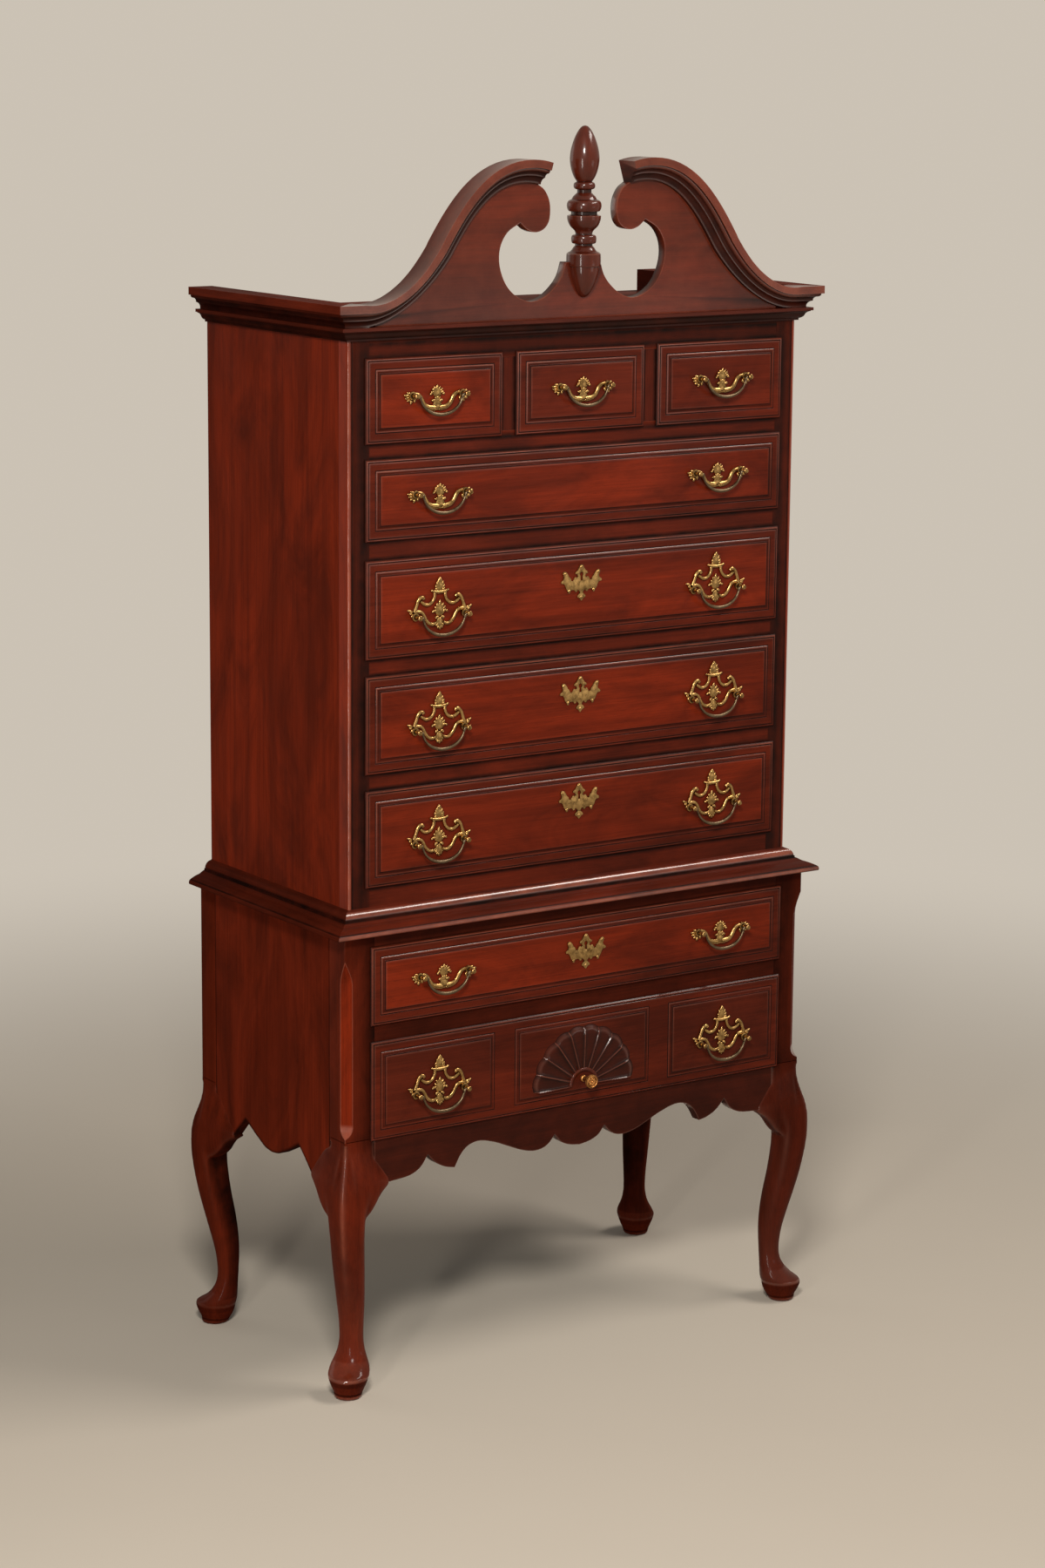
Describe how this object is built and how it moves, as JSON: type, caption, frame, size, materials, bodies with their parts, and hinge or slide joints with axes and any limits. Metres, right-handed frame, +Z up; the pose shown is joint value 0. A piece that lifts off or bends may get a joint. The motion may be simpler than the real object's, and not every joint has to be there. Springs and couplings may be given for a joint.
{
  "type": "highboy chest",
  "caption": "Two-part tall chest of drawers on cabriole legs with slipper feet, thumb-moulded drawers with brass bail pulls and a broken scroll pediment.",
  "frame": {"origin": "middle of the footprint's bounding box, on the floor under the feet", "axes": "+Z up, the drawer fronts face -Y, +X to the right of somebody who faces the drawers"},
  "size_m": [0.992, 0.5316, 2.0905],
  "materials": {
    "cherry": "deep red-brown cherry or mahogany stain under satin lacquer, dark glaze in the recesses",
    "inner_wood": "pale secondary wood of the drawer boxes, dust boards and backs, thinly sealed",
    "brass": "antique brass, darkened in the hollows"
  },
  "bodies": {
    "case": {"upper_side_left": "cherry", "upper_side_right": "cherry", "upper_face_frame": "cherry", "upper_top_board": "cherry", "cornice_ledge": "cherry", "pediment_board": "cherry", "crown_left": "cherry", "crown_right": "cherry", "finial": "cherry", "lower_side_left": "cherry", "lower_side_right": "cherry", "lower_top_frame": "cherry", "lower_drawer_divider": "cherry", "lower_front_apron": "cherry", "waist_moulding": "cherry", "leg_front_left": "cherry", "leg_front_right": "cherry", "leg_rear_left": "cherry", "leg_rear_right": "cherry", "upper_back": "inner_wood", "upper_dust_board_1": "inner_wood", "upper_dust_board_2": "inner_wood", "upper_dust_board_3": "inner_wood", "upper_dust_board_4": "inner_wood", "upper_bottom_board": "inner_wood", "lower_back": "inner_wood"},
    "drawer_1_left": {"drawer_1_left_front": "cherry", "drawer_1_left_box": "inner_wood"},
    "bail_1_left": {"bail_1_left": "brass"},
    "drawer_1_middle": {"drawer_1_middle_front": "cherry", "drawer_1_middle_box": "inner_wood"},
    "bail_1_middle": {"bail_1_middle": "brass"},
    "drawer_1_right": {"drawer_1_right_front": "cherry", "drawer_1_right_box": "inner_wood"},
    "bail_1_right": {"bail_1_right": "brass"},
    "drawer_2": {"drawer_2_front": "cherry", "drawer_2_box": "inner_wood"},
    "bail_2_left": {"bail_2_left": "brass"},
    "bail_2_right": {"bail_2_right": "brass"},
    "drawer_3": {"drawer_3_front": "cherry", "drawer_3_box": "inner_wood"},
    "bail_3_left": {"bail_3_left": "brass"},
    "bail_3_right": {"bail_3_right": "brass"},
    "drawer_4": {"drawer_4_front": "cherry", "drawer_4_box": "inner_wood"},
    "bail_4_left": {"bail_4_left": "brass"},
    "bail_4_right": {"bail_4_right": "brass"},
    "drawer_5": {"drawer_5_front": "cherry", "drawer_5_box": "inner_wood"},
    "bail_5_left": {"bail_5_left": "brass"},
    "bail_5_right": {"bail_5_right": "brass"},
    "drawer_6": {"drawer_6_front": "cherry", "drawer_6_box": "inner_wood"},
    "bail_6_left": {"bail_6_left": "brass"},
    "bail_6_right": {"bail_6_right": "brass"},
    "drawer_7": {"drawer_7_front": "cherry", "drawer_7_box": "inner_wood", "knob": "brass"},
    "bail_7_left": {"bail_7_left": "brass"},
    "bail_7_right": {"bail_7_right": "brass"}
  },
  "joints": [
    {"name": "drawer_1_left_slide", "type": "slide", "parent": "case", "child": "drawer_1_left", "axis": [0, -1, 0], "range_m": [0, 0.3]},
    {"name": "bail_1_left_swing", "type": "hinge", "parent": "drawer_1_left", "child": "bail_1_left", "pos_m": [-0.2875, -0.22679, 1.667], "axis": [-1, 0, 0], "range_deg": [0, 90]},
    {"name": "drawer_1_middle_slide", "type": "slide", "parent": "case", "child": "drawer_1_middle", "axis": [0, -1, 0], "range_m": [0, 0.3]},
    {"name": "bail_1_middle_swing", "type": "hinge", "parent": "drawer_1_middle", "child": "bail_1_middle", "pos_m": [0, -0.22679, 1.667], "axis": [-1, 0, 0], "range_deg": [0, 90]},
    {"name": "drawer_1_right_slide", "type": "slide", "parent": "case", "child": "drawer_1_right", "axis": [0, -1, 0], "range_m": [0, 0.3]},
    {"name": "bail_1_right_swing", "type": "hinge", "parent": "drawer_1_right", "child": "bail_1_right", "pos_m": [0.2875, -0.22679, 1.667], "axis": [-1, 0, 0], "range_deg": [0, 90]},
    {"name": "drawer_2_slide", "type": "slide", "parent": "case", "child": "drawer_2", "axis": [0, -1, 0], "range_m": [0, 0.3]},
    {"name": "bail_2_left_swing", "type": "hinge", "parent": "drawer_2", "child": "bail_2_left", "pos_m": [-0.281, -0.22679, 1.5075], "axis": [-1, 0, 0], "range_deg": [0, 90]},
    {"name": "bail_2_right_swing", "type": "hinge", "parent": "drawer_2", "child": "bail_2_right", "pos_m": [0.281, -0.22679, 1.5075], "axis": [-1, 0, 0], "range_deg": [0, 90]},
    {"name": "drawer_3_slide", "type": "slide", "parent": "case", "child": "drawer_3", "axis": [0, -1, 0], "range_m": [0, 0.3]},
    {"name": "bail_3_left_swing", "type": "hinge", "parent": "drawer_3", "child": "bail_3_left", "pos_m": [-0.281, -0.22679, 1.3075], "axis": [-1, 0, 0], "range_deg": [0, 90]},
    {"name": "bail_3_right_swing", "type": "hinge", "parent": "drawer_3", "child": "bail_3_right", "pos_m": [0.281, -0.22679, 1.3075], "axis": [-1, 0, 0], "range_deg": [0, 90]},
    {"name": "drawer_4_slide", "type": "slide", "parent": "case", "child": "drawer_4", "axis": [0, -1, 0], "range_m": [0, 0.3]},
    {"name": "bail_4_left_swing", "type": "hinge", "parent": "drawer_4", "child": "bail_4_left", "pos_m": [-0.281, -0.22679, 1.1185], "axis": [-1, 0, 0], "range_deg": [0, 90]},
    {"name": "bail_4_right_swing", "type": "hinge", "parent": "drawer_4", "child": "bail_4_right", "pos_m": [0.281, -0.22679, 1.1185], "axis": [-1, 0, 0], "range_deg": [0, 90]},
    {"name": "drawer_5_slide", "type": "slide", "parent": "case", "child": "drawer_5", "axis": [0, -1, 0], "range_m": [0, 0.3]},
    {"name": "bail_5_left_swing", "type": "hinge", "parent": "drawer_5", "child": "bail_5_left", "pos_m": [-0.281, -0.22679, 0.9295], "axis": [-1, 0, 0], "range_deg": [0, 90]},
    {"name": "bail_5_right_swing", "type": "hinge", "parent": "drawer_5", "child": "bail_5_right", "pos_m": [0.281, -0.22679, 0.9295], "axis": [-1, 0, 0], "range_deg": [0, 90]},
    {"name": "drawer_6_slide", "type": "slide", "parent": "case", "child": "drawer_6", "axis": [0, -1, 0], "range_m": [0, 0.32]},
    {"name": "bail_6_left_swing", "type": "hinge", "parent": "drawer_6", "child": "bail_6_left", "pos_m": [-0.286, -0.25179, 0.712], "axis": [-1, 0, 0], "range_deg": [0, 90]},
    {"name": "bail_6_right_swing", "type": "hinge", "parent": "drawer_6", "child": "bail_6_right", "pos_m": [0.286, -0.25179, 0.712], "axis": [-1, 0, 0], "range_deg": [0, 90]},
    {"name": "drawer_7_slide", "type": "slide", "parent": "case", "child": "drawer_7", "axis": [0, -1, 0], "range_m": [0, 0.32]},
    {"name": "bail_7_left_swing", "type": "hinge", "parent": "drawer_7", "child": "bail_7_left", "pos_m": [-0.293, -0.25179, 0.511], "axis": [-1, 0, 0], "range_deg": [0, 90]},
    {"name": "bail_7_right_swing", "type": "hinge", "parent": "drawer_7", "child": "bail_7_right", "pos_m": [0.293, -0.25179, 0.511], "axis": [-1, 0, 0], "range_deg": [0, 90]}
  ]
}
